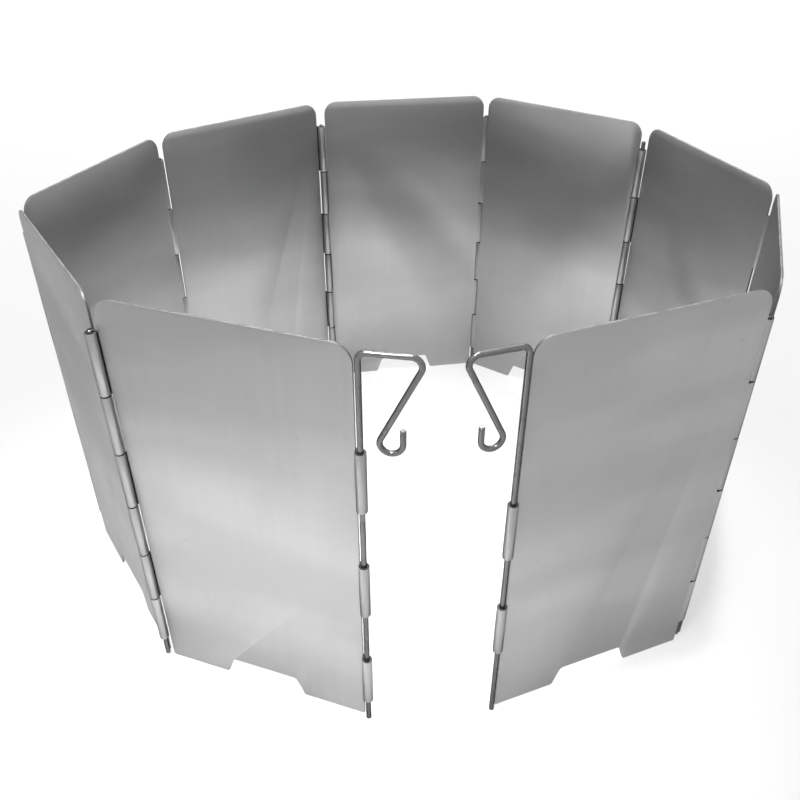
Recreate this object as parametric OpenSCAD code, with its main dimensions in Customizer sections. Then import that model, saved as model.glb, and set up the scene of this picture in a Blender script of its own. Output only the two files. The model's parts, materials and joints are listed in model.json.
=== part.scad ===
// Folding stove windscreen: nine sheet plates hinged in a row, with a bent wire peg in each free edge.
// The plates stand as a ring round a stove, open at the front (-Y).
// Plate 1 is front left, plate 5 is at the back and plate 9 is front right.
// Hinge line 0 is the free edge of plate 1, line 9 the free edge of plate 9, and line n joins plates n and n + 1.

/* [Plates] */
// Distance along a plate from one hinge line to the next
plate_pitch = 84; // [60:1:110]
// Height of a plate
plate_h = 157; // [130:1:200]
// Thickness of the sheet
sheet_t = 0.8; // [0.6:0.1:1.2]
// Radius of the top corners
corner_r = 6; // [2:0.5:10]
// Gap from a plate's side edge to the rolled knuckles of its neighbour
edge_gap = 0.2; // [0.2:0.1:1]

/* [Air notch] */
// Width of the notch at the ground
notch_foot_w = 32; // [20:1:40]
// Width of the notch at its top
notch_top_w = 26; // [14:1:30]
// Height of the notch
notch_h = 8.2; // [6:0.2:16]
// Radius of the notch's top corners
notch_r = 1.5; // [0.5:0.5:2.5]

/* [Knuckles] */
// Height of the lowest knuckle's lower end
knuckle_z = 10.5; // [6:0.5:20]
// Distance from the top knuckle's upper end to the top of the plate
knuckle_drop = 10.9; // [8:0.1:20]
// Gap between one knuckle and the next
knuckle_gap = 0.5; // [0.3:0.1:1]
// How far round the wire the sheet is rolled, in degrees
roll_wrap = 295; // [270:5:300]

/* [Wire] */
// Diameter of the hinge pins and the pegs
wire_d = 1.8; // [1.4:0.1:2.4]
// Room between the wire and a knuckle, on the radius
wire_play = 0.05; // [0.02:0.01:0.1]
// Height of the lower end of the hinge pins
pin_z = 1.5; // [1:0.5:6]
// How far a hinge pin stands above its top knuckle
pin_proud = 0.6; // [0.2:0.2:2]
// How far the one long hinge pin stands above its top knuckle
long_pin_proud = 3.4; // [0.4:0.2:5]

/* [Pegs] */
// How far the middle of a peg's top bar lies below the top of the plates when the peg stands on the ground
bar_drop = 1; // [0:0.1:4]
// Length of the top bar
bar_reach = 17; // [15:0.2:24]
// Height of a peg's handle, from the middle of its bar to the middle of the wire at the hook's bottom
handle_h = 32; // [26:0.5:38]
// How far the hook's middle is from the peg's leg
hook_reach = 8.8; // [6.5:0.1:11]
// Radius of the hook
hook_r = 3.3; // [2:0.1:4]
// Length of the hook's straight tip
tip_l = 5; // [2:0.5:8]
// Radius of the bend above the leg
leg_bend_r = 2.2; // [1.6:0.1:3]
// Radius of the bend at the end of the bar
bar_bend_r = 3; // [1.6:0.1:3.4]
// How far the left peg's handle is turned from the plate that it extends, in degrees
left_handle_turn = 10; // [-30:1:40]
// How far the right peg's handle is turned from the plate that it extends, in degrees
right_handle_turn = 4; // [-30:1:30]

/* [Standing shape] */
// Heading of plate 1, in degrees from +X
first_heading = 160.5; // [150:0.5:176]
// Turn at hinge 1, in degrees
turn_1 = 37; // [31:0.5:41]
// Turn at hinge 2, in degrees
turn_2 = 55.5; // [44:0.5:56.5]
// Turn at hinge 3, in degrees
turn_3 = 30; // [23:0.5:33]
// Turn at hinge 4, in degrees
turn_4 = 29; // [23:0.5:31]
// Turn at hinge 5, in degrees
turn_5 = 44.5; // [35:0.5:46.5]
// Turn at hinge 6, in degrees
turn_6 = 35; // [29:0.5:37]
// Turn at hinge 7, in degrees
turn_7 = 39.5; // [31:0.5:41.5]
// Turn at hinge 8, in degrees
turn_8 = 48.5; // [40:0.5:50.5]

/* [Hidden] */

$fn = 64;
aluminium_colour = [0.76, 0.77, 0.78];
steel_colour = [0.52, 0.52, 0.53];

plate_count = 9;
long_pin = 6;
hinge_turns = [turn_1, turn_2, turn_3, turn_4, turn_5, turn_6, turn_7, turn_8];

// Knuckle 1 is the top one. The left edge of a plate, seen from inside the ring, has the even knuckles.
knuckle_count = 6;
left_knuckles = [2, 4, 6];
right_knuckles = [1, 3, 5];
// The free edge of plate 9 has no top knuckle, so that its peg's hook has room.
last_right_knuckles = [3, 5];
knuckle_row_h = plate_h - knuckle_drop - knuckle_z;
knuckle_pitch = knuckle_row_h / knuckle_count;
knuckle_l = knuckle_pitch - knuckle_gap;

wire_r = wire_d / 2;
bore_r = wire_r + wire_play;
roll_r = bore_r + sheet_t;
// Distance from the middle of the sheet to the hinge line
axis_offset = bore_r + sheet_t / 2;
// Distance along the plate from the hinge line to the plate's side edge
edge_setback = roll_r + edge_gap;
// Angle at which the roll starts, below the hinge line, and the angle at which it ends
roll_start = -90;
roll_end = roll_start - roll_wrap;
pin_top_z = plate_h - knuckle_drop;
bar_z = plate_h - bar_drop;

// The wire thins a little where it is bent, and a straight stretch laps into the bend by a little.
bend_thinning = 0.06;
bend_lap = 0.2;

// Angle of the straight slope between the end of the bar and the hook, from the vertical
slope_rise = handle_h - bar_bend_r - hook_r;
slope_run = bar_reach - bar_bend_r - hook_reach;
slope_span = norm([slope_run, slope_rise]);
slope_l = sqrt(slope_span * slope_span - pow(bar_bend_r + hook_r, 2));
slope_angle = atan2(slope_run, slope_rise) + asin((bar_bend_r + hook_r) / slope_span);

// A hinge line is outside the sheet (1) or inside it (-1) by turns, so that the row folds like an accordion.
// The free edge of plate 1 is rolled to the outside too, like the hinge at its other edge.
function roll_side(line) = line == 0 || line % 2 == 1 ? 1 : -1;
function turned(v, angle) = [v.x * cos(angle) - v.y * sin(angle), v.x * sin(angle) + v.y * cos(angle)];
function heading(plate) = plate == 1 ? first_heading : heading(plate - 1) - hinge_turns[plate - 2];
function plate_step(plate) =
    turned([plate_pitch, (roll_side(plate) - roll_side(plate - 1)) * axis_offset], heading(plate));
function chain_point(line) = line == 0 ? [0, 0] : chain_point(line - 1) + plate_step(line);

chain = [for (line = [0 : plate_count]) chain_point(line)];
chain_x = [for (point = chain) point.x];
chain_y = [for (point = chain) point.y];
ring_centre = [max(chain_x) + min(chain_x), max(chain_y) + min(chain_y)] / 2;

function hinge_line(line) = chain[line] - ring_centre;

// Draws its children, made in a plate's own frame: X along the plate from its left hinge line, +Y outside the ring.
module in_plate(plate) {
    left_axis = turned([0, roll_side(plate - 1) * axis_offset], heading(plate));
    translate(hinge_line(plate - 1) - left_axis)
        rotate(heading(plate))
            children();
}

// The air notch: a straight flank rises from each end of its foot to a rounded corner.
module notch_outline() {
    foot = [notch_foot_w / 2, 0];
    corner = [notch_top_w / 2 - notch_r, notch_h - notch_r];
    span = norm(corner - foot);
    flank_l = sqrt(span * span - notch_r * notch_r);
    flank_angle = atan2(corner.y - foot.y, corner.x - foot.x) - asin(notch_r / span);
    flank_top = foot + flank_l * [cos(flank_angle), sin(flank_angle)];
    for (flip = [0, 1])
        mirror([flip, 0]) {
            polygon([[0, -1], [foot.x, -1], foot, flank_top, [corner.x, notch_h], [0, notch_h]]);
            translate(corner)
                circle(notch_r, $fn = 32);
        }
}

// Front view of a plate without its knuckles
module blank_outline() {
    blank_w = plate_pitch - 2 * edge_setback;
    difference() {
        translate([edge_setback, 0])
            union() {
                square([blank_w, plate_h - corner_r]);
                translate([corner_r, 0])
                    square([blank_w - 2 * corner_r, plate_h]);
                for (x = [corner_r, blank_w - corner_r])
                    translate([x, plate_h - corner_r])
                        circle(corner_r);
            }
        translate([plate_pitch / 2, 0])
            notch_outline();
    }
}

// Section of a knuckle about its hinge line, with the plate towards +X and the roll towards +Y
module knuckle_section() {
    reach = 2 * roll_r;
    overlap = 0.3;
    difference() {
        circle(roll_r);
        circle(bore_r);
        polygon([[0, 0], [0, -reach], [reach, -reach], reach * [cos(roll_end), sin(roll_end)]]);
    }
    translate([0, -axis_offset - sheet_t / 2])
        square([edge_setback + overlap, sheet_t]);
}

// Knuckles of one edge, about a hinge line at the origin
module knuckles(numbers) {
    for (number = numbers)
        translate([0, 0, knuckle_z + (knuckle_count - number) * knuckle_pitch + knuckle_gap / 2])
            linear_extrude(knuckle_l)
                knuckle_section();
}

module plate(number) {
    left_side = roll_side(number - 1);
    right_side = roll_side(number);
    flip_left = left_side > 0 ? 0 : 1;
    flip_right = right_side > 0 ? 0 : 1;
    is_last = number == plate_count;
    color(aluminium_colour)
        in_plate(number) {
            translate([0, sheet_t / 2, 0])
                rotate([90, 0, 0])
                    linear_extrude(sheet_t)
                        blank_outline();
            translate([0, left_side * axis_offset, 0])
                mirror([0, flip_left, 0])
                    knuckles(left_knuckles);
            translate([plate_pitch, right_side * axis_offset, 0])
                mirror([1, 0, 0])
                    mirror([0, flip_right, 0])
                        knuckles(is_last ? last_right_knuckles : right_knuckles);
        }
}

module hinge_pin(number) {
    proud = number == long_pin ? long_pin_proud : pin_proud;
    color(steel_colour)
        translate([each hinge_line(number), pin_z])
            cylinder(r = wire_r, h = pin_top_z + proud - pin_z);
}

// A bend in a wire: an arc that leaves the origin along +Z and bends towards +X
module wire_arc(bend_r, angle) {
    translate([bend_r, 0, 0])
        rotate([90, 0, 0])
            rotate(180 - angle)
                rotate_extrude(angle = angle)
                    translate([bend_r, 0])
                        circle(wire_r - bend_thinning);
}

// A wire from the origin along +Z. Each step is [straight length, bend radius, bend angle], a positive angle
// bending towards +X. A straight stretch runs a little into the bends beside it.
module bent_wire(steps, index = 0) {
    last = len(steps) - 1;
    step = steps[index];
    straight = step[0];
    bend_r = step[1];
    angle = abs(step[2]);
    side = step[2] < 0 ? 1 : 0;
    lap_before = index > 0 ? bend_lap : 0;
    lap_after = index < last ? bend_lap : 0;
    translate([0, 0, -lap_before])
        cylinder(r = wire_r, h = lap_before + straight + lap_after);
    translate([0, 0, straight])
        mirror([side, 0, 0]) {
            if (angle > 0)
                wire_arc(bend_r, angle);
            if (index < last)
                translate([bend_r, 0, 0])
                    rotate([0, angle, 0])
                        translate([-bend_r, 0, 0])
                            mirror([side, 0, 0])
                                bent_wire(steps, index + 1);
        }
}

// A peg standing on the ground at the origin, with its handle towards +X
module peg() {
    bent_wire([
        [bar_z - leg_bend_r, leg_bend_r, 90],
        [bar_reach - leg_bend_r - bar_bend_r, bar_bend_r, 90 + slope_angle],
        [slope_l, hook_r, -180 - slope_angle],
        [tip_l, 0, 0]
    ]);
}

module left_peg() {
    color(steel_colour)
        translate([each hinge_line(0), 0])
            rotate(heading(1) + 180 + left_handle_turn)
                peg();
}

module right_peg() {
    color(steel_colour)
        translate([each hinge_line(plate_count), 0])
            rotate(heading(plate_count) - right_handle_turn)
                peg();
}

plate(1);  // plate_1
plate(2);  // plate_2
plate(3);  // plate_3
plate(4);  // plate_4
plate(5);  // plate_5
plate(6);  // plate_6
plate(7);  // plate_7
plate(8);  // plate_8
plate(9);  // plate_9
hinge_pin(1);  // hinge_pin_1
hinge_pin(2);  // hinge_pin_2
hinge_pin(3);  // hinge_pin_3
hinge_pin(4);  // hinge_pin_4
hinge_pin(5);  // hinge_pin_5
hinge_pin(6);  // hinge_pin_6
hinge_pin(7);  // hinge_pin_7
hinge_pin(8);  // hinge_pin_8
left_peg();
right_peg();
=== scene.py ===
"""Folding stove windscreen: nine hinged aluminium plates, eight wire pins and two wire pegs."""

from __future__ import annotations

import json
import logging
import math
from dataclasses import dataclass, field
from enum import Enum
from typing import Any, Callable, Sequence

import bmesh
import bpy
from mathutils import Matrix, Vector

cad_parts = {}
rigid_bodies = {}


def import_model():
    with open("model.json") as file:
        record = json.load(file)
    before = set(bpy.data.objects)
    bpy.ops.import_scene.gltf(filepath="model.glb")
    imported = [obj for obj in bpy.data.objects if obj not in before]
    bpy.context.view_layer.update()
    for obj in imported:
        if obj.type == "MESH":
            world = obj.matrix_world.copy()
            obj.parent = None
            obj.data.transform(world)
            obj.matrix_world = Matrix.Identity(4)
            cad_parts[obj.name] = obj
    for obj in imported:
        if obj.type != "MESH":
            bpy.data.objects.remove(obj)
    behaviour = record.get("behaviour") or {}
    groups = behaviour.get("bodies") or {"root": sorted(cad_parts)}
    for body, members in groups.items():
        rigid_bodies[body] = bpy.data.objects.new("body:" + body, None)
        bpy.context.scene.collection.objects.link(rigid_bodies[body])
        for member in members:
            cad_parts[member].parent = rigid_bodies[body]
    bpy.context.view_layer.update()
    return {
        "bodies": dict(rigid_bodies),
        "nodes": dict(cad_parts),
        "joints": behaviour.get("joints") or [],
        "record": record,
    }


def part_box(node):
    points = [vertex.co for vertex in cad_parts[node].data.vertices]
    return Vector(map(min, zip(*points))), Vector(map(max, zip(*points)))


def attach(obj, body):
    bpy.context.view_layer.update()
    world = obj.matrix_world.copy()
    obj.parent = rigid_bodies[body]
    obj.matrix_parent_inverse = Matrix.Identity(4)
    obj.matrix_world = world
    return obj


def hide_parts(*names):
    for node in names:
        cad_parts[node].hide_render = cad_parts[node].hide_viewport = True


LOG = logging.getLogger("windscreen")
MM = 0.001
NEAR = 0.02 * MM
MERGE = 0.002 * MM
UV_CUBE = 0.1
QUAD_SIDES = 4
IMAGE_SIDE_PX = 800
SENSOR_MM = 36.0
Colour = tuple[float, float, float, float]


def grey(level: float) -> Colour:
    """Gives an opaque grey of a linear level from 0, black, to 1, white."""
    return (level, level, level, 1.0)


class Pick(Enum):
    """What is picked in edit mode."""

    VERT = "verts"
    EDGE = "edges"


class RollSide(Enum):
    """Side of the sheet on which an edge is rolled, seen from above the plate's own frame."""

    OUTSIDE = 1.0
    INSIDE = -1.0


class PlateFinish(Enum):
    """Material slots of a plate's mesh, by number."""

    FACE = 0
    EDGE = 1
    # The rolled tubes: smoother than the face, with painted shade as a darker tone.
    ROLL = 2
    # Painted shade: a near-black finish on the bores, the rolls' cut ends and the tabs beside them.
    BORE = 3


class MaterialSlot(Enum):
    """The record's material slots."""

    SHEET = "aluminium_sheet"
    WIRE = "steel_wire"


@dataclass(frozen=True)
class SheetSizes:
    """Sizes of a plate and its rolled knuckles, in metres and radians, and the steps of its rounds."""

    pitch: float = 84.0 * MM
    height: float = 157.0 * MM
    thickness: float = 0.8 * MM
    corner_r: float = 6.0 * MM
    foot_corner_r: float = 0.6 * MM
    setback: float = 1.95 * MM
    axis_offset: float = 1.35 * MM
    notch_foot_w: float = 32.0 * MM
    notch_top_w: float = 26.0 * MM
    notch_h: float = 8.2 * MM
    notch_r: float = 1.5 * MM
    notch_trim_share: float = 0.8
    knuckle_z: float = 10.5 * MM
    knuckle_pitch: float = 22.6 * MM
    knuckle_gap: float = 0.5 * MM
    knuckle_count: int = 6
    roll_wrap: float = math.radians(295.0)
    roll_steps: int = 24
    corner_steps: int = 10
    notch_steps: int = 5
    foot_steps: int = 3
    edge_round: float = 0.1 * MM
    edge_steps: int = 2
    sharp_from: float = math.radians(50.0)
    smooth_below: float = math.radians(35.0)

    def knuckle_span(self, number: int) -> tuple[float, float]:
        """Gives the lower and upper end of a knuckle.

        Args:
            number: Place of the knuckle in the row, counted from the top.

        Returns:
            Heights of the knuckle's two ends.
        """
        low = self.knuckle_z + (self.knuckle_count - number) * self.knuckle_pitch
        return low + self.knuckle_gap / 2, low + self.knuckle_pitch - self.knuckle_gap / 2


@dataclass(frozen=True)
class WireSizes:
    """Sizes of the pins and the pegs, in metres, radians and degrees, and the steps of their rounds."""

    radius: float = 0.9 * MM
    sides: int = 24
    end_round: float = 0.25 * MM
    end_steps: int = 3
    bend_step_deg: float = 9.0
    least_bend_steps: int = 6
    smooth_below: float = math.radians(40.0)
    bar_z: float = 156.0 * MM
    bar_reach: float = 17.0 * MM
    handle_h: float = 32.0 * MM
    hook_reach: float = 8.8 * MM
    hook_r: float = 3.3 * MM
    tip_l: float = 5.0 * MM
    leg_bend_r: float = 2.2 * MM
    bar_bend_r: float = 3.0 * MM

    def steps(self) -> list[tuple[float, float, float]]:
        """Gives the wire's path as straight lengths, each with the bend that follows it.

        Returns:
            Steps of straight length, bend radius and signed bend angle.
        """
        rise = self.handle_h - self.bar_bend_r - self.hook_r
        run = self.bar_reach - self.bar_bend_r - self.hook_reach
        span = math.hypot(run, rise)
        both = self.bar_bend_r + self.hook_r
        slope_l = math.sqrt(span * span - both * both)
        slope = math.atan2(run, rise) + math.asin(both / span)
        return [
            (self.bar_z - self.leg_bend_r, self.leg_bend_r, math.pi / 2),
            (self.bar_reach - self.leg_bend_r - self.bar_bend_r, self.bar_bend_r, math.pi / 2 + slope),
            (slope_l, self.hook_r, -math.pi - slope),
            (self.tip_l, 0.0, 0.0),
        ]


class Bench:
    """A mesh object on the work bench, shaped by operators in edit mode."""

    def __init__(self, piece: bpy.types.Object) -> None:
        """Takes a new object in hand.

        Args:
            piece: The mesh object that is shaped.
        """
        self.piece = piece

    @classmethod
    def upright_plane(cls, name: str, width: float, height: float, left: float) -> Bench:
        """Starts from an upright plane that stands on the ground along X.

        Args:
            name: Name of the new object.
            width: Size along X.
            height: Size along Z.
            left: Place of the left edge on X.

        Returns:
            The bench with the plane on it.
        """
        cls.clear_selection()
        bpy.ops.mesh.primitive_plane_add(size=1.0, rotation=(math.pi / 2, 0.0, 0.0))
        piece = bpy.context.object
        piece.name = name
        bpy.ops.object.transform_apply(location=False, rotation=True, scale=False)
        piece.scale = (width, 1.0, height)
        piece.location = (left + width / 2, 0.0, height / 2)
        bpy.ops.object.transform_apply(location=True, rotation=True, scale=True)
        return cls(piece)

    @classmethod
    def ring(cls, name: str, radius: float, sides: int) -> Bench:
        """Starts from an open ring that lies on the ground at the origin.

        Args:
            name: Name of the new object.
            radius: Radius of the ring.
            sides: Number of sides.

        Returns:
            The bench with the ring on it.
        """
        cls.clear_selection()
        bpy.ops.mesh.primitive_circle_add(vertices=sides, radius=radius, fill_type="NOTHING")
        piece = bpy.context.object
        piece.name = name
        return cls(piece)

    def coat(self, finishes: Sequence[bpy.types.Material]) -> None:
        """Gives the piece its material slots, before it is shaped.

        Args:
            finishes: The materials of the slots, in order.
        """
        for finish in finishes:
            self.piece.data.materials.append(finish)

    @staticmethod
    def clear_selection() -> None:
        """Deselects every object."""
        bpy.ops.object.select_all(action="DESELECT")

    def take(self) -> None:
        """Makes the piece the active object and the only one that is selected."""
        self.clear_selection()
        self.piece.select_set(True)
        bpy.context.view_layer.objects.active = self.piece

    def edit(self) -> None:
        """Opens the piece in edit mode."""
        self.take()
        bpy.ops.object.mode_set(mode="EDIT")

    def close(self) -> None:
        """Goes back to object mode."""
        bpy.ops.object.mode_set(mode="OBJECT")

    def pick(self, kind: Pick, test: Callable[[Any], bool]) -> int:
        """Selects the parts of the mesh that pass a test, and nothing else.

        Args:
            kind: What is selected.
            test: Says whether a vertex or an edge is selected.

        Returns:
            How many were selected.
        """
        bpy.ops.mesh.select_mode(type=kind.name)
        bpy.ops.mesh.select_all(action="DESELECT")
        mesh = bmesh.from_edit_mesh(self.piece.data)
        count = 0
        for item in getattr(mesh, kind.value):
            if test(item):
                item.select_set(True)
                count += 1
        mesh.select_flush_mode()
        bmesh.update_edit_mesh(self.piece.data)
        return count

    def dress(self, finish: PlateFinish, test: Callable[[Any], bool]) -> None:
        """Gives the faces that pass a test another material slot, in edit mode.

        Args:
            finish: The slot they get.
            test: Says whether a face gets it.
        """
        mesh = bmesh.from_edit_mesh(self.piece.data)
        for face in mesh.faces:
            if test(face):
                face.material_index = finish.value
        bmesh.update_edit_mesh(self.piece.data)

    def divide(self, cuts: int) -> None:
        """Puts new vertices on the selected edge.

        Args:
            cuts: How many vertices are added.
        """
        bpy.ops.mesh.subdivide(number_cuts=cuts, ngon=True, quadcorner="STRAIGHT_CUT")

    def move_to(self, point: Vector, goal: Vector) -> None:
        """Moves the vertex at one place to another.

        Args:
            point: Where the vertex is.
            goal: Where it goes.
        """
        self.pick(Pick.VERT, lambda vert: (vert.co - point).length < NEAR)
        bpy.ops.transform.translate(value=goal - point)

    def round_corner(self, points: Sequence[Vector], radius: float, segments: int) -> None:
        """Rounds corners of an outline.

        Args:
            points: Where the corners are.
            radius: Length that is cut off each side of a corner.
            segments: Number of edges in the round.
        """
        self.pick(Pick.VERT, lambda vert: any((vert.co - point).length < NEAR for point in points))
        bpy.ops.mesh.bevel(offset=radius, offset_type="OFFSET", segments=segments, affect="VERTICES")

    def pull(self, step: Vector) -> None:
        """Extrudes what is selected.

        Args:
            step: How far and where it goes.
        """
        bpy.ops.mesh.extrude_region_move(TRANSFORM_OT_translate={"value": step})

    def swing(self, angle: float, centre: Vector, axis: Vector, steps: int) -> None:
        """Spins what is selected about an axis and leaves the far end selected.

        Args:
            angle: Angle of the spin, to the right-hand rule.
            centre: A point on the axis.
            axis: Direction of the axis.
            steps: Number of steps in the spin.
        """
        bpy.ops.mesh.spin(steps=steps, angle=-angle, center=centre, axis=axis, use_auto_merge=False)

    def tidy_normals(self) -> None:
        """Merges doubles and turns the faces outwards, in edit mode."""
        bpy.ops.mesh.select_all(action="SELECT")
        bpy.ops.mesh.remove_doubles(threshold=MERGE)
        bpy.ops.mesh.normals_make_consistent(inside=False)

    def modify(self, kind: str, **settings: Any) -> None:
        """Adds a modifier and applies it.

        Args:
            kind: Type of the modifier.
            settings: Values set on it.
        """
        self.take()
        modifier = self.piece.modifiers.new(kind.lower(), kind)
        for name, value in settings.items():
            setattr(modifier, name, value)
        bpy.ops.object.modifier_apply(modifier=modifier.name)

    def unwrap(self) -> None:
        """Gives the piece a UV map that runs along the sheet and up it."""
        self.edit()
        bpy.ops.mesh.select_all(action="SELECT")
        bpy.ops.uv.cube_project(cube_size=UV_CUBE)
        self.close()

    def smooth(self, angle: float) -> None:
        """Shades the piece smooth, except at sharp edges.

        Args:
            angle: Angle from which an edge stays sharp.
        """
        self.take()
        bpy.ops.object.shade_smooth_by_angle(angle=angle)

    def copy(self, name: str) -> Bench:
        """Copies the piece, with a mesh of its own.

        Args:
            name: Name of the copy.

        Returns:
            The bench with the copy on it.
        """
        self.take()
        bpy.ops.object.duplicate(linked=False)
        twin = bpy.context.object
        twin.name = name
        return Bench(twin)

    def discard(self) -> None:
        """Takes a pattern away once its copies are made."""
        mesh = self.piece.data
        bpy.data.objects.remove(self.piece)
        bpy.data.meshes.remove(mesh)

    def place(self, spot: Vector, heading: float) -> None:
        """Puts the piece in its place in the shared frame and leaves the place in its mesh.

        Args:
            spot: Where the piece's own origin goes.
            heading: Turn about Z.
        """
        self.take()
        self.piece.matrix_world = Matrix.Translation(spot) @ Matrix.Rotation(heading, 4, "Z")
        bpy.ops.object.transform_apply(location=True, rotation=True, scale=True)


class Wiring:
    """A node tree that is being wired, with the numbers of the mix node's colour sockets."""

    MIX_SHARE = 0
    MIX_FIRST = 6
    MIX_SECOND = 7
    MIX_RESULT = 2

    def __init__(self, tree: bpy.types.NodeTree) -> None:
        """Takes a node tree in hand.

        Args:
            tree: The tree of a material, a world or a node group.
        """
        self.tree = tree

    @classmethod
    def of(cls, owner: bpy.types.Material | bpy.types.World) -> Wiring:
        """Starts the tree of a material or a world afresh.

        Args:
            owner: The material or the world.

        Returns:
            The wiring of its empty tree.
        """
        owner.use_nodes = True
        owner.node_tree.nodes.clear()
        return cls(owner.node_tree)

    def add(self, kind: str, links: dict[Any, Any] | None = None, **settings: Any) -> bpy.types.Node:
        """Adds a node.

        Args:
            kind: Type of the node.
            links: Values of, or sockets that feed, its inputs by name or number.
            settings: Values set on the node itself.

        Returns:
            The new node.
        """
        node = self.tree.nodes.new(kind)
        for name, value in settings.items():
            setattr(node, name, value)
        for name, value in (links or {}).items():
            if isinstance(value, bpy.types.NodeSocket):
                self.tree.links.new(value, node.inputs[name])
            else:
                node.inputs[name].default_value = value
        return node

    def use(self, group: bpy.types.NodeTree, **values: Any) -> Any:
        """Adds a shared node group, with values or sockets for its inputs, and gives its outputs."""
        return self.add("ShaderNodeGroup", values, node_tree=group).outputs

    def stretch(self, vector: Any, factors: Any) -> Any:
        """Multiplies a place by a factor for each axis."""
        node = self.add("ShaderNodeVectorMath", {0: vector, 1: factors}, operation="MULTIPLY")
        return node.outputs["Vector"]

    def noise(self, vector: Any, scale: Any, detail: float, roughness: float = 0.5,
              distortion: float = 0.0) -> Any:
        """Adds a noise texture.

        Args:
            vector: Socket that gives the place.
            scale: Scale of the noise, as a socket or a number.
            detail: Number of octaves.
            roughness: How strong the finer octaves are.
            distortion: How far the noise is bent.

        Returns:
            The socket with the noise's value.
        """
        values = {"Vector": vector, "Scale": scale, "Detail": detail, "Roughness": roughness,
                  "Distortion": distortion}
        return self.add("ShaderNodeTexNoise", values).outputs["Fac"]

    def span(self, value: Any, low: float, high: float, to_low: float, to_high: float) -> Any:
        """Maps one range of values smoothly to another.

        Args:
            value: Socket with the value.
            low: Value that becomes to_low.
            high: Value that becomes to_high.
            to_low: Start of the new range.
            to_high: End of the new range.

        Returns:
            The socket with the new value.
        """
        values = {"Value": value, "From Min": low, "From Max": high, "To Min": to_low, "To Max": to_high}
        node = self.add("ShaderNodeMapRange", values, interpolation_type="SMOOTHSTEP", clamp=True)
        return node.outputs["Result"]

    def math(self, operation: str, first: Any, second: Any) -> Any:
        """Adds a math node for two sockets or numbers and gives its result."""
        return self.add("ShaderNodeMath", {0: first, 1: second}, operation=operation).outputs["Value"]

    def mix(self, share: Any, first: Any, second: Any) -> Any:
        """Mixes two colours.

        Args:
            share: Socket or number from 0, the first colour, to 1, the second.
            first: Socket or colour.
            second: Socket or colour.

        Returns:
            The socket with the mixed colour.
        """
        values = {self.MIX_SHARE: share, self.MIX_FIRST: first, self.MIX_SECOND: second}
        return self.add("ShaderNodeMix", values, data_type="RGBA").outputs[self.MIX_RESULT]

    def bump(self, height: Any, strength: float, depth: float, under: Any = None) -> Any:
        """Adds a bump.

        Args:
            height: Socket with the height.
            strength: How strong the bump is.
            depth: Depth of the full height.
            under: Socket with the normal of another bump on which this one lies.

        Returns:
            The socket with the normal.
        """
        values = {"Height": height, "Strength": strength, "Distance": depth}
        if under is not None:
            values["Normal"] = under
        return self.add("ShaderNodeBump", values).outputs["Normal"]

    def metal(self, values: dict[str, Any]) -> None:
        """Ends a material with a metal shader.

        Args:
            values: Values of, or sockets that feed, the shader's inputs by name.
        """
        shader = self.add("ShaderNodeBsdfPrincipled", {"Metallic": 1.0, **values})
        self.add("ShaderNodeOutputMaterial", {"Surface": shader.outputs["BSDF"]})


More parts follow.
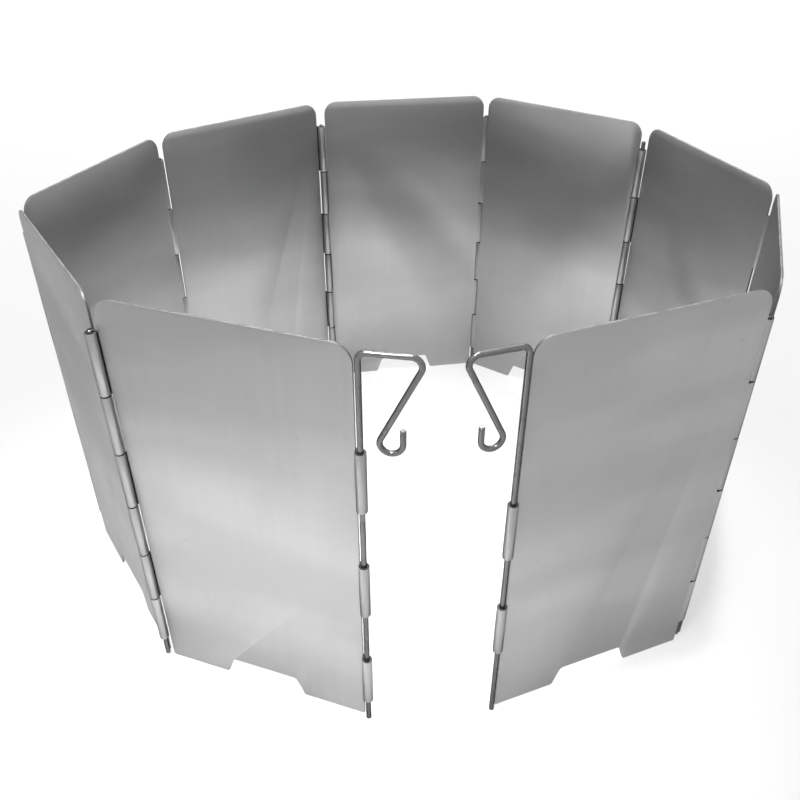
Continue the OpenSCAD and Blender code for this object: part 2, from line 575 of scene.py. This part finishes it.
class Effects:
    """Node groups that the finishes share."""

    GRAIN_OCTAVES = 3.0
    GRAIN_HARSHNESS = 0.6
    STREAK_STRETCH = (0.06, 0.06, 0.12)
    STREAK_OCTAVES = 4.0
    STREAK_HARSHNESS = 0.55
    SMUDGE_OCTAVES = 4.0
    SMUDGE_HARSHNESS = 0.55
    SMUDGE_BEND = 0.8
    SMUDGE_RANGE = (0.38, 0.68)
    SPECK_RANGE = (0.03, 0.085)
    SPECK_CHANCE = (0.62, 0.66)

    def __init__(self) -> None:
        """Builds each group once."""
        self.grain = self._grain()
        self.smudges = self._smudges()
        self.specks = self._specks()

    @staticmethod
    def _group(name: str, numbers: Sequence[str], outputs: Sequence[str]) -> Wiring:
        """Starts a group that takes a place and some numbers.

        Args:
            name: Name of the group.
            numbers: Names of the inputs that are numbers.
            outputs: Names of the outputs, which are all numbers.

        Returns:
            The group's wiring.
        """
        tree = bpy.data.node_groups.new(name, "ShaderNodeTree")
        tree.interface.new_socket("Vector", in_out="INPUT", socket_type="NodeSocketVector")
        for label in numbers:
            tree.interface.new_socket(label, in_out="INPUT", socket_type="NodeSocketFloat")
        for label in outputs:
            tree.interface.new_socket(label, in_out="OUTPUT", socket_type="NodeSocketFloat")
        return Wiring(tree)

    def _grain(self) -> bpy.types.NodeTree:
        """Builds the straight rolling grain, which runs along Z.

        Returns:
            The group, with a fine height and a broad streak mask.
        """
        wiring = self._group("straight_grain", ("Across", "Along"), ("Height", "Streak"))
        given = wiring.add("NodeGroupInput").outputs
        factors = wiring.add("ShaderNodeCombineXYZ", {
            "X": given["Across"], "Y": given["Across"], "Z": given["Along"]}).outputs["Vector"]
        fine = wiring.stretch(given["Vector"], factors)
        height = wiring.noise(fine, 1.0, self.GRAIN_OCTAVES, self.GRAIN_HARSHNESS)
        broad = wiring.stretch(fine, self.STREAK_STRETCH)
        streak = wiring.noise(broad, 1.0, self.STREAK_OCTAVES, self.STREAK_HARSHNESS)
        wiring.add("NodeGroupOutput", {"Height": height, "Streak": streak})
        return wiring.tree

    def _smudges(self) -> bpy.types.NodeTree:
        """Builds the soft marks that handling leaves on bare metal.

        Returns:
            The group, with a mask of the marks.
        """
        wiring = self._group("handling_smudges", ("Scale",), ("Mask",))
        given = wiring.add("NodeGroupInput").outputs
        cloud = wiring.noise(given["Vector"], given["Scale"], self.SMUDGE_OCTAVES, self.SMUDGE_HARSHNESS,
                             self.SMUDGE_BEND)
        wiring.add("NodeGroupOutput", {"Mask": wiring.span(cloud, *self.SMUDGE_RANGE, 0.0, 1.0)})
        return wiring.tree

    def _specks(self) -> bpy.types.NodeTree:
        """Builds sparse small specks.

        Returns:
            The group, with a mask of the specks.
        """
        wiring = self._group("small_specks", ("Scale",), ("Mask",))
        given = wiring.add("NodeGroupInput").outputs
        values = {"Vector": given["Vector"], "Scale": given["Scale"]}
        cells = wiring.add("ShaderNodeTexVoronoi", values).outputs
        dot = wiring.span(cells["Distance"], *self.SPECK_RANGE, 1.0, 0.0)
        chance = wiring.add("ShaderNodeSeparateColor", {"Color": cells["Color"]}).outputs["Red"]
        kept = wiring.span(chance, *self.SPECK_CHANCE, 0.0, 1.0)
        wiring.add("NodeGroupOutput", {"Mask": wiring.math("MULTIPLY", dot, kept)})
        return wiring.tree


@dataclass(frozen=True)
class SatinSheet:
    """Satin face of rolled aluminium sheet, with an upright grain and faint level bands."""

    name: str = "satin_aluminium_face"
    colour: Colour = grey(0.51)
    dull: Colour = grey(0.41)
    speck: Colour = grey(0.34)
    roughness: float = 0.45
    roughness_swing: float = 0.025
    anisotropy: float = 0.85
    grazing_tint: Colour = grey(0.3)
    grain_across: float = 5200.0
    grain_along: float = 55.0
    grain_bump: float = 0.1
    grain_depth: float = 0.02 * MM
    streak_range: tuple[float, float] = (0.3, 0.7)
    streak_share: float = 0.16
    smudge_scale: float = 26.0
    speck_scale: float = 120.0
    speck_share: float = 0.5
    band_stretch: tuple[float, float, float] = (0.3, 0.3, 1.0)
    band_scale: float = 34.0
    band_octaves: float = 2.0
    band_range: tuple[float, float] = (0.35, 0.65)
    band_share: float = 0.65
    band_bump: float = 0.38
    band_depth: float = 1.0 * MM

    def build(self, effects: Effects) -> bpy.types.Material:
        """Makes the material.

        Args:
            effects: The shared node groups.

        Returns:
            The material.
        """
        material = bpy.data.materials.new(self.name)
        wiring = Wiring.of(material)
        place = wiring.add("ShaderNodeTexCoord").outputs["Object"]
        grain = wiring.use(effects.grain, Vector=place, Across=self.grain_across, Along=self.grain_along)
        smudges = wiring.use(effects.smudges, Vector=place, Scale=self.smudge_scale)["Mask"]
        specks = wiring.use(effects.specks, Vector=place, Scale=self.speck_scale)["Mask"]
        level = wiring.add("ShaderNodeMapping", {"Vector": place, "Scale": self.band_stretch})
        wave = wiring.noise(level.outputs["Vector"], self.band_scale, self.band_octaves)
        streaks = wiring.span(grain["Streak"], *self.streak_range, 0.0, self.streak_share)
        bands = wiring.span(wave, *self.band_range, 0.0, self.band_share)
        tone = wiring.mix(streaks, self.colour, self.dull)
        tone = wiring.mix(bands, tone, self.dull)
        tone = wiring.mix(wiring.math("MULTIPLY", specks, self.speck_share), tone, self.speck)
        rough = wiring.span(smudges, 0.0, 1.0, self.roughness - self.roughness_swing,
                            self.roughness + self.roughness_swing)
        broad = wiring.bump(wave, self.band_bump, self.band_depth)
        fine = wiring.bump(grain["Height"], self.grain_bump, self.grain_depth, broad)
        tangent = wiring.add("ShaderNodeTangent", direction_type="UV_MAP", uv_map="UVMap")
        wiring.metal({
            "Base Color": tone, "Roughness": rough, "Normal": fine, "Anisotropic": self.anisotropy,
            "Specular Tint": self.grazing_tint, "Tangent": tangent.outputs["Tangent"]})
        return material


@dataclass(frozen=True)
class ShearedEdge:
    """Cut edge of the sheet: duller than the face, with the shear's fine lines."""

    name: str = "sheared_aluminium_edge"
    colour: Colour = grey(0.17)
    dull: Colour = grey(0.12)
    roughness: float = 0.5
    roughness_swing: float = 0.08
    smudge_scale: float = 260.0
    smudge_share: float = 0.6
    line_scale: float = 2600.0
    line_octaves: float = 2.0
    line_bump: float = 0.3
    line_depth: float = 0.03 * MM

    def build(self, effects: Effects) -> bpy.types.Material:
        """Makes the material.

        Args:
            effects: The shared node groups.

        Returns:
            The material.
        """
        material = bpy.data.materials.new(self.name)
        wiring = Wiring.of(material)
        place = wiring.add("ShaderNodeTexCoord").outputs["Object"]
        smudges = wiring.use(effects.smudges, Vector=place, Scale=self.smudge_scale)["Mask"]
        tone = wiring.mix(wiring.math("MULTIPLY", smudges, self.smudge_share), self.colour, self.dull)
        rough = wiring.span(smudges, 0.0, 1.0, self.roughness - self.roughness_swing,
                            self.roughness + self.roughness_swing)
        lines = wiring.noise(place, self.line_scale, self.line_octaves)
        normal = wiring.bump(lines, self.line_bump, self.line_depth)
        wiring.metal({"Base Color": tone, "Roughness": rough, "Normal": normal})
        return material


@dataclass(frozen=True)
class DrawnWire:
    """Drawn steel wire, smooth and a little scuffed."""

    name: str = "drawn_steel_wire"
    colour: Colour = grey(0.18)
    dull: Colour = grey(0.12)
    roughness: float = 0.2
    roughness_fall: float = 0.06
    roughness_rise: float = 0.1
    grazing_tint: Colour = grey(0.1)
    grain_across: float = 3000.0
    grain_along: float = 160.0
    grain_bump: float = 0.2
    grain_depth: float = 0.02 * MM
    smudge_scale: float = 150.0
    smudge_share: float = 0.3

    def build(self, effects: Effects) -> bpy.types.Material:
        """Makes the material.

        Args:
            effects: The shared node groups.

        Returns:
            The material.
        """
        material = bpy.data.materials.new(self.name)
        wiring = Wiring.of(material)
        place = wiring.add("ShaderNodeTexCoord").outputs["Object"]
        grain = wiring.use(effects.grain, Vector=place, Across=self.grain_across, Along=self.grain_along)
        smudges = wiring.use(effects.smudges, Vector=place, Scale=self.smudge_scale)["Mask"]
        tone = wiring.mix(wiring.math("MULTIPLY", smudges, self.smudge_share), self.colour, self.dull)
        rough = wiring.span(smudges, 0.0, 1.0, self.roughness - self.roughness_fall,
                            self.roughness + self.roughness_rise)
        normal = wiring.bump(grain["Height"], self.grain_bump, self.grain_depth)
        wiring.metal({
            "Base Color": tone, "Roughness": rough, "Normal": normal, "Specular Tint": self.grazing_tint})
        return material


@dataclass
class HingedPlate:
    """One plate with the knuckles rolled on its two upright edges.

    The shares tell a roll's faces by their distance from the middle of its sheet, in half thicknesses.
    """

    # ROLL_SKIN_SHARE picks the tubes' outer skin; the shares below pick the bores, cut ends and tabs that
    # get painted shade.
    ROLL_SKIN_SHARE = 0.25
    PAINTED_SHADE_SHARES = (-1.2, 0.9)

    number: int
    left_line: Vector
    right_line: Vector
    left_knuckles: tuple[int, ...]
    right_knuckles: tuple[int, ...]
    sizes: SheetSizes = field(default_factory=SheetSizes)

    @staticmethod
    def roll_side(line: int) -> RollSide:
        """Gives a hinge line's roll side: outside at the left free edge, 0, and at odd lines."""
        return RollSide.OUTSIDE if line == 0 or line % 2 == 1 else RollSide.INSIDE

    def sides(self) -> tuple[RollSide, RollSide]:
        """Gives the roll sides of the left and the right edge."""
        return self.roll_side(self.number - 1), self.roll_side(self.number)

    def heading(self) -> float:
        """Gives the plate's direction about Z, from its left hinge line to its right one.

        Returns:
            The heading in radians.
        """
        step = self.right_line - self.left_line
        left, right = self.sides()
        rise = (right.value - left.value) * self.sizes.axis_offset
        return math.atan2(step.y, step.x) - math.atan2(rise, self.sizes.pitch)

    def origin(self) -> Vector:
        """Gives the place of the plate's own origin, mid-sheet beside its left hinge line.

        Returns:
            The origin on the ground.
        """
        offset = Vector((0.0, self.sides()[0].value * self.sizes.axis_offset, 0.0))
        return self.left_line - Matrix.Rotation(self.heading(), 3, "Z") @ offset

    def _side_edges(self) -> tuple[float, float]:
        """Gives the places of the left and the right upright edge on the plate's own X."""
        return self.sizes.setback, self.sizes.pitch - self.sizes.setback

    def kind(self) -> tuple[RollSide, RollSide, tuple[int, ...]]:
        """Gives what tells one pattern of plate from another: roll sides and right knuckles."""
        return (*self.sides(), self.right_knuckles)

    def pattern(self, finishes: Sequence[bpy.types.Material]) -> Bench:
        """Models the plate in its own frame: the blank, its notch and knuckles, then the thickness.

        Args:
            finishes: The materials, in the order of PlateFinish.

        Returns:
            The bench with the pattern, from which plates of this kind are copied.
        """
        sizes = self.sizes
        left, right = self._side_edges()
        left_side, right_side = self.sides()
        bench = Bench.upright_plane("plate_pattern", right - left, sizes.height, left)
        bench.coat(finishes)
        bench.edit()
        self._cut_outline(bench)
        self._roll_edge(bench, left, self.left_knuckles, left_side)
        self._roll_edge(bench, right, self.right_knuckles, right_side)
        bench.tidy_normals()
        bench.close()
        bench.modify("SOLIDIFY", thickness=sizes.thickness, offset=0.0, use_even_offset=True,
                     material_offset_rim=PlateFinish.EDGE.value)
        bench.modify("BEVEL", width=sizes.edge_round, segments=sizes.edge_steps, limit_method="ANGLE",
                     angle_limit=sizes.sharp_from, use_clamp_overlap=True)
        self._dress_rolls(bench)
        bench.unwrap()
        bench.smooth(sizes.smooth_below)
        return bench

    def set_out(self, pattern: Bench) -> bpy.types.Object:
        """Copies the pattern of this kind of plate to the plate's place.

        Args:
            pattern: The modelled pattern.

        Returns:
            The finished piece.
        """
        bench = pattern.copy("sheet_plate_%d" % self.number)
        bench.place(self.origin(), self.heading())
        return bench.piece

    def _dress_rolls(self, bench: Bench) -> None:
        """Gives the rolls a finish of their own, smoother and darker, the darker tone being painted shade,
        and paints shade on their bores, cut ends and the tabs beside them as a near-black finish.

        Args:
            bench: The bench with the thick plate.
        """
        sizes = self.sizes
        half = sizes.thickness / 2
        inmost, outmost = (share * half for share in self.PAINTED_SHADE_SHARES)
        bench.edit()
        for line_x, side in zip((0.0, sizes.pitch), self.sides()):
            centre = Vector((line_x, side.value * sizes.axis_offset))
            # The tubes' outer skin gets the roll finish, whose darker tone is painted shade.
            bench.dress(PlateFinish.ROLL, lambda face: abs(self._off_roll(face, centre) - half)
                        < self.ROLL_SKIN_SHARE * half)
            # Painted shade: the bores, cut ends and tabs near the hinge line go near black.
            bench.dress(PlateFinish.BORE, lambda face: inmost < self._off_roll(face, centre) < outmost
                        and face.calc_center_median().z > sizes.foot_corner_r)
        bench.close()

    def _off_roll(self, face: Any, centre: Vector) -> float:
        """Tells how far a face lies outside the middle of the sheet that is rolled about a centre."""
        return (face.calc_center_median().xy - centre).length - self.sizes.axis_offset

    def _cut_outline(self, bench: Bench) -> None:
        """Cuts the notch and rounds the corners of the blank.

        Args:
            bench: The bench with the plain blank, in edit mode.
        """
        sizes = self.sizes
        middle = sizes.pitch / 2
        left, right = self._side_edges()
        goals = (
            Vector((middle - sizes.notch_foot_w / 2, 0.0, 0.0)),
            Vector((middle - sizes.notch_top_w / 2, 0.0, sizes.notch_h)),
            Vector((middle + sizes.notch_top_w / 2, 0.0, sizes.notch_h)),
            Vector((middle + sizes.notch_foot_w / 2, 0.0, 0.0)),
        )
        bench.pick(Pick.EDGE, lambda edge: all(vert.co.z < NEAR for vert in edge.verts))
        bench.divide(len(goals))
        spacing = (right - left) / (len(goals) + 1)
        for place, goal in enumerate(goals, start=1):
            bench.move_to(Vector((left + place * spacing, 0.0, 0.0)), goal)
        bench.round_corner(goals[1:3], sizes.notch_r * sizes.notch_trim_share, sizes.notch_steps)
        bench.round_corner((goals[0], goals[3]), sizes.foot_corner_r, sizes.foot_steps)
        feet = (Vector((left, 0.0, 0.0)), Vector((right, 0.0, 0.0)))
        bench.round_corner(feet, sizes.foot_corner_r, sizes.foot_steps)
        tops = (Vector((left, 0.0, sizes.height)), Vector((right, 0.0, sizes.height)))
        bench.round_corner(tops, sizes.corner_r, sizes.corner_steps)

    def _roll_edge(self, bench: Bench, edge_x: float, numbers: tuple[int, ...], side: RollSide) -> None:
        """Draws tabs out of an upright edge and rolls each about the hinge line.

        Args:
            bench: The bench with the blank, in edit mode.
            edge_x: Place of the upright edge on X.
            numbers: Which knuckles of the row are on this edge.
            side: Side of the sheet on which they are rolled.
        """
        sizes = self.sizes
        to_left = edge_x < sizes.pitch / 2
        line_x = 0.0 if to_left else sizes.pitch
        low = sizes.foot_corner_r
        high = sizes.height - sizes.corner_r
        marks = sorted(end for number in numbers for end in sizes.knuckle_span(number))
        bench.pick(Pick.EDGE, lambda edge: all(abs(vert.co.x - edge_x) < NEAR for vert in edge.verts)
                   and edge.calc_length() > sizes.height / 2)
        bench.divide(len(marks))
        starts = [low + (high - low) * place / (len(marks) + 1) for place in range(1, len(marks) + 1)]
        for start, mark in self._safe_order(list(zip(starts, marks))):
            bench.move_to(Vector((edge_x, 0.0, start)), Vector((edge_x, 0.0, mark)))
        centre = Vector((line_x, side.value * sizes.axis_offset, 0.0))
        turn = sizes.roll_wrap * side.value * (-1.0 if to_left else 1.0)
        for number in numbers:
            bottom, top = sizes.knuckle_span(number)
            ends = (Vector((edge_x, 0.0, bottom)), Vector((edge_x, 0.0, top)))
            bench.pick(Pick.EDGE, lambda edge: all(
                any((vert.co - end).length < NEAR for vert in edge.verts) for end in ends))
            bench.pull(Vector((line_x - edge_x, 0.0, 0.0)))
            bench.swing(turn, centre, Vector((0.0, 0.0, 1.0)), sizes.roll_steps)

    @staticmethod
    def _safe_order(moves: Sequence[tuple[float, float]]) -> list[tuple[float, float]]:
        """Orders the moves of an edge's new vertices, so that none lands where another still waits.

        Args:
            moves: Where each vertex is and where it goes, from the lowest one up.

        Returns:
            The moves that go down, from the lowest on, then those that go up, from the highest on.
        """
        down = [move for move in moves if move[1] < move[0]]
        up = [move for move in moves if move[1] >= move[0]]
        return down + up[::-1]


@dataclass
class HingePin:
    """A straight length of wire in one row of knuckles."""

    number: int
    line: Vector
    low: float
    high: float
    sizes: WireSizes = field(default_factory=WireSizes)

    def kind(self) -> float:
        """Gives the pin's length, to a micrometre, which tells one pattern of pin from another."""
        return round(self.high - self.low, 6)

    def pattern(self, finish: bpy.types.Material) -> Bench:
        """Models a pin of this length at the origin, with cropped, slightly rounded ends.

        Args:
            finish: The wire's material.

        Returns:
            The bench with the pattern, from which pins of this length are copied.
        """
        bench = Bench.ring("pin_pattern", self.sizes.radius, self.sizes.sides)
        bench.coat((finish,))
        bench.edit()
        bpy.ops.mesh.select_all(action="SELECT")
        bench.pull(Vector((0.0, 0.0, self.high - self.low)))
        close_wire(bench, self.sizes)
        bench.close()
        bench.smooth(self.sizes.smooth_below)
        return bench

    def set_out(self, pattern: Bench) -> bpy.types.Object:
        """Copies the pattern of this length of pin to the pin's place.

        Args:
            pattern: The modelled pattern.

        Returns:
            The finished piece.
        """
        bench = pattern.copy("wire_pin_%d" % self.number)
        bench.place(Vector((self.line.x, self.line.y, self.low)), 0.0)
        return bench.piece


@dataclass
class GroundPeg:
    """A peg bent from one wire: a straight leg, a bar, a slope and a hook."""

    name: str
    line: Vector
    heading: float
    sizes: WireSizes = field(default_factory=WireSizes)

    def model(self, finish: bpy.types.Material) -> bpy.types.Object:
        """Models the peg by drawing the wire's ring out along straights and round bends.

        Args:
            finish: The wire's material.

        Returns:
            The finished piece in its place.
        """
        sizes = self.sizes
        bench = Bench.ring(self.name, sizes.radius, sizes.sides)
        bench.coat((finish,))
        bench.edit()
        bpy.ops.mesh.select_all(action="SELECT")
        point = Vector((0.0, 0.0, 0.0))
        lean = 0.0
        for straight, bend_r, angle in sizes.steps():
            along = Vector((math.sin(lean), 0.0, math.cos(lean)))
            bench.pull(along * straight)
            point = point + along * straight
            if bend_r > 0.0:
                side = math.copysign(1.0, angle)
                centre = point + Vector((math.cos(lean), 0.0, -math.sin(lean))) * bend_r * side
                steps = max(sizes.least_bend_steps, round(abs(math.degrees(angle)) / sizes.bend_step_deg))
                bench.swing(angle, centre, Vector((0.0, 1.0, 0.0)), steps)
                point = centre + Matrix.Rotation(angle, 3, "Y") @ (point - centre)
                lean += angle
        close_wire(bench, sizes)
        bench.close()
        bench.smooth(sizes.smooth_below)
        bench.place(Vector((self.line.x, self.line.y, 0.0)), self.heading)
        return bench.piece


def close_wire(bench: Bench, sizes: WireSizes) -> None:
    """Closes both ends of a wire and rounds their rims.

    Args:
        bench: The bench with the open wire, in edit mode.
        sizes: The wire's sizes.
    """
    bpy.ops.mesh.select_mode(type="EDGE")
    bpy.ops.mesh.select_all(action="SELECT")
    bpy.ops.mesh.remove_doubles(threshold=MERGE)
    bench.pick(Pick.EDGE, lambda edge: edge.is_boundary)
    bpy.ops.mesh.edge_face_add()
    bench.pick(Pick.EDGE, lambda edge: any(len(face.verts) > QUAD_SIDES for face in edge.link_faces))
    bpy.ops.mesh.bevel(offset=sizes.end_round, offset_type="OFFSET", segments=sizes.end_steps,
                       affect="EDGES")
    bench.tidy_normals()


@dataclass(frozen=True)
class PhotoCamera:
    """The camera from which the object is seen, in metres, degrees and pixels."""

    place: tuple[float, float, float] = (-0.005268, -0.302668, 0.267131)
    pitch: float = 34.892
    yaw: float = -0.388
    roll: float = 0.159
    focal_px: float = 823.684
    clip_start: float = 0.01

    def build(self) -> None:
        """Makes the camera and gives it to the scene."""
        pitch, yaw, roll = (math.radians(angle) for angle in (self.pitch, self.yaw, self.roll))
        reach = math.cos(pitch)
        ahead = Vector((-math.sin(yaw) * reach, math.cos(yaw) * reach, -math.sin(pitch)))
        level = Vector((math.cos(yaw), math.sin(yaw), 0.0))
        over = level.cross(ahead)
        right = level * math.cos(roll) + over * math.sin(roll)
        up = over * math.cos(roll) - level * math.sin(roll)
        camera = bpy.data.cameras.new("photo_camera")
        camera.sensor_fit = "HORIZONTAL"
        camera.sensor_width = SENSOR_MM
        camera.lens = self.focal_px * SENSOR_MM / IMAGE_SIDE_PX
        camera.clip_start = self.clip_start
        holder = bpy.data.objects.new("photo_camera", camera)
        turn = Matrix((right, up, -ahead)).transposed().to_4x4()
        holder.matrix_world = Matrix.Translation(self.place) @ turn
        bpy.context.scene.collection.objects.link(holder)
        bpy.context.scene.camera = holder


@dataclass(frozen=True)
class SoftBox:
    """A soft studio lamp."""

    name: str
    place: tuple[float, float, float]
    aim: tuple[float, float, float]
    width: float
    height: float
    power: float
    spread: float = 180.0

    def build(self) -> None:
        """Hangs the lamp."""
        lamp = bpy.data.lights.new(self.name, "AREA")
        lamp.shape = "RECTANGLE"
        lamp.size = self.width
        lamp.size_y = self.height
        lamp.energy = self.power
        lamp.spread = math.radians(self.spread)
        holder = bpy.data.objects.new(self.name, lamp)
        holder.location = self.place
        sight = Vector(self.aim) - Vector(self.place)
        holder.rotation_euler = sight.to_track_quat("-Z", "Y").to_euler()
        bpy.context.scene.collection.objects.link(holder)


@dataclass(frozen=True)
class Studio:
    """A plain pale floor under soft light."""

    floor_side: float = 14.0
    floor_colour: Colour = grey(0.9)
    white: Colour = grey(1.0)
    white_share: float = 0.48
    sky_light: float = 0.38
    sky_seen: float = 1.0
    lamps: tuple[SoftBox, ...] = (
        SoftBox("key_softbox", (-0.24, -0.42, 0.9), aim=(-0.1, -0.19, 0.0),
                width=0.15, height=0.15, power=0.48, spread=28.0),
        SoftBox("ring_softbox", (0.0, -0.05, 1.2), aim=(0.0, -0.02, 0.0),
                width=0.1, height=0.1, power=0.2, spread=18.0),
        SoftBox("floor_softbox", (-0.3, -0.4, 1.5), aim=(0.0, -0.1, 0.0),
                width=1.0, height=1.0, power=1.75, spread=100.0),
        SoftBox("front_softbox", (-0.6, -0.9, 0.7), aim=(0.0, 0.1, 0.1),
                width=1.0, height=1.0, power=1.0),
        SoftBox("background_softbox", (0.0, 1.6, 1.3), aim=(0.0, 1.1, 0.0),
                width=1.6, height=0.8, power=29.0),
    )

    def build(self) -> None:
        """Lays the floor, hangs the lamps and sets the sky and the view."""
        bpy.context.scene.view_settings.view_transform = "Standard"
        bpy.context.scene.world = self._sky()
        for lamp in self.lamps:
            lamp.build()
        Bench.clear_selection()
        bpy.ops.mesh.primitive_plane_add(size=self.floor_side)
        floor = bpy.context.object
        floor.name = "studio_floor"
        floor.data.materials.append(self._floor_material())

    @staticmethod
    def _seen(wiring: Wiring) -> Any:
        """Tells the rays by which the camera, metal or glass sees the studio from those that light.

        Args:
            wiring: The tree in which the answer is used.

        Returns:
            A socket that is 1 for a seeing ray.
        """
        path = wiring.add("ShaderNodeLightPath").outputs
        seen = wiring.math("MAXIMUM", path["Is Camera Ray"], path["Is Glossy Ray"])
        return wiring.math("MAXIMUM", seen, path["Is Transmission Ray"])

    def _sky(self) -> bpy.types.World:
        """Makes the studio's white surroundings, which give only a part of that light.

        Returns:
            The world.
        """
        world = bpy.data.worlds.new("studio_sky")
        wiring = Wiring.of(world)
        strength = wiring.span(self._seen(wiring), 0.0, 1.0, self.sky_light, self.sky_seen)
        white = wiring.add("ShaderNodeBackground", {"Color": self.white, "Strength": strength})
        wiring.add("ShaderNodeOutputWorld", {"Surface": white.outputs["Background"]})
        return world

    def _floor_material(self) -> bpy.types.Material:
        """Makes the floor's material: a pale matt floor that the camera and the metal see near white.

        Returns:
            The material.
        """
        material = bpy.data.materials.new("pale_floor")
        wiring = Wiring.of(material)
        matt = wiring.add("ShaderNodeBsdfDiffuse", {"Color": self.floor_colour})
        white = wiring.add("ShaderNodeEmission", {"Color": self.white, "Strength": 1.0})
        share = wiring.math("MULTIPLY", self._seen(wiring), self.white_share)
        mixed = wiring.add("ShaderNodeMixShader", {
            0: share, 1: matt.outputs["BSDF"], 2: white.outputs["Emission"]})
        wiring.add("ShaderNodeOutputMaterial", {"Surface": mixed.outputs["Shader"]})
        return material


class Windscreen:
    """The whole screen: plates, pins and pegs."""

    PLATE_COUNT = 9
    LEFT_KNUCKLES = (2, 4, 6)
    RIGHT_KNUCKLES = (1, 3, 5)
    LAST_RIGHT_KNUCKLES = (3, 5)
    LEFT_HANDLE_TURN = math.radians(190.0)
    RIGHT_HANDLE_TURN = math.radians(-4.0)

    def __init__(self, frame: dict[str, Any]) -> None:
        """Reads the hinge lines and lays out the pieces.
        """
        self.frame = frame
        self.lines = self._hinge_lines()
        effects = Effects()
        finishes = (
            SatinSheet(),
            ShearedEdge(),
            # The rolled tubes: smoother and not anisotropic, with painted shade as a darker tone.
            SatinSheet("rolled_aluminium_knuckle", colour=grey(0.41), dull=grey(0.33), speck=grey(0.28),
                       roughness=0.38, roughness_swing=0.03, anisotropy=0.0, grazing_tint=grey(0.05)),
            # Painted shade: a near-black finish for the bores, the rolls' cut ends and the tabs beside
            # them.
            ShearedEdge("sooty_knuckle_bore", colour=grey(0.09), dull=grey(0.06), roughness=0.6),
        )
        self.sheet_finishes = tuple(finish.build(effects) for finish in finishes)
        self.wire_finish = DrawnWire().build(effects)
        self.plates = [self._plate(number) for number in range(1, self.PLATE_COUNT + 1)]

    def _hinge_lines(self) -> list[Vector]:
        """Reads the hinge lines from the frame: the hinge joints, and the pegs' ends at the free edges.

        Returns:
            The place of each hinge line on the ground, from the left free edge to the right one.
        """
        joints = {joint["name"]: joint for joint in self.frame["joints"]}
        ends = {mount["name"]: mount for mount in self.frame["record"]["mounts"]}
        lines = [Vector(ends["left_peg_end"]["pos_m"])]
        lines += [Vector(joints["hinge_%d" % number]["pos_m"]) for number in range(1, self.PLATE_COUNT)]
        lines.append(Vector(ends["right_peg_end"]["pos_m"]))
        return lines

    def _plate(self, number: int) -> HingedPlate:
        """Lays out one plate.

        Args:
            number: Place of the plate in the row.

        Returns:
            The plate.
        """
        last = number == self.PLATE_COUNT
        right = self.LAST_RIGHT_KNUCKLES if last else self.RIGHT_KNUCKLES
        return HingedPlate(number, self.lines[number - 1], self.lines[number], self.LEFT_KNUCKLES, right)

    def _join(self, piece: bpy.types.Object, node: str) -> None:
        """Lets a piece stand for a node of the frame.

        Args:
            piece: The finished piece.
            node: The node that it replaces.
        """
        bodies = self.frame["record"]["behaviour"]["bodies"]
        body = next(name for name, nodes in bodies.items() if node in nodes)
        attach(piece, body)
        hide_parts(node)
        LOG.info("%s stands for %s on body %s, %d faces", piece.name, node, body, len(piece.data.polygons))

    def build(self) -> None:
        """Models and dresses every piece."""
        patterns: dict[Any, Bench] = {}
        for plate in self.plates:
            if plate.kind() not in patterns:
                patterns[plate.kind()] = plate.pattern(self.sheet_finishes)
            piece = plate.set_out(patterns[plate.kind()])
            self._join(piece, "plate_%d" % plate.number)
        for number in range(1, self.PLATE_COUNT):
            node = "hinge_pin_%d" % number
            low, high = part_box(node)
            pin = HingePin(number, self.lines[number], low[2], high[2])
            if pin.kind() not in patterns:
                patterns[pin.kind()] = pin.pattern(self.wire_finish)
            self._join(pin.set_out(patterns[pin.kind()]), node)
        for pattern in patterns.values():
            pattern.discard()
        for side, end, turn in (("left", 0, self.LEFT_HANDLE_TURN), ("right", -1, self.RIGHT_HANDLE_TURN)):
            peg = GroundPeg("%s_wire_peg" % side, self.lines[end], self.plates[end].heading() + turn)
            self._join(peg.model(self.wire_finish), "%s_peg" % side)


def main() -> None:
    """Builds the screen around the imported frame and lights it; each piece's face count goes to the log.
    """
    logging.basicConfig(level=logging.INFO, format="%(name)s: %(message)s")
    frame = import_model()
    PhotoCamera().build()
    Studio().build()
    Windscreen(frame).build()


if __name__ == "__main__":
    main()
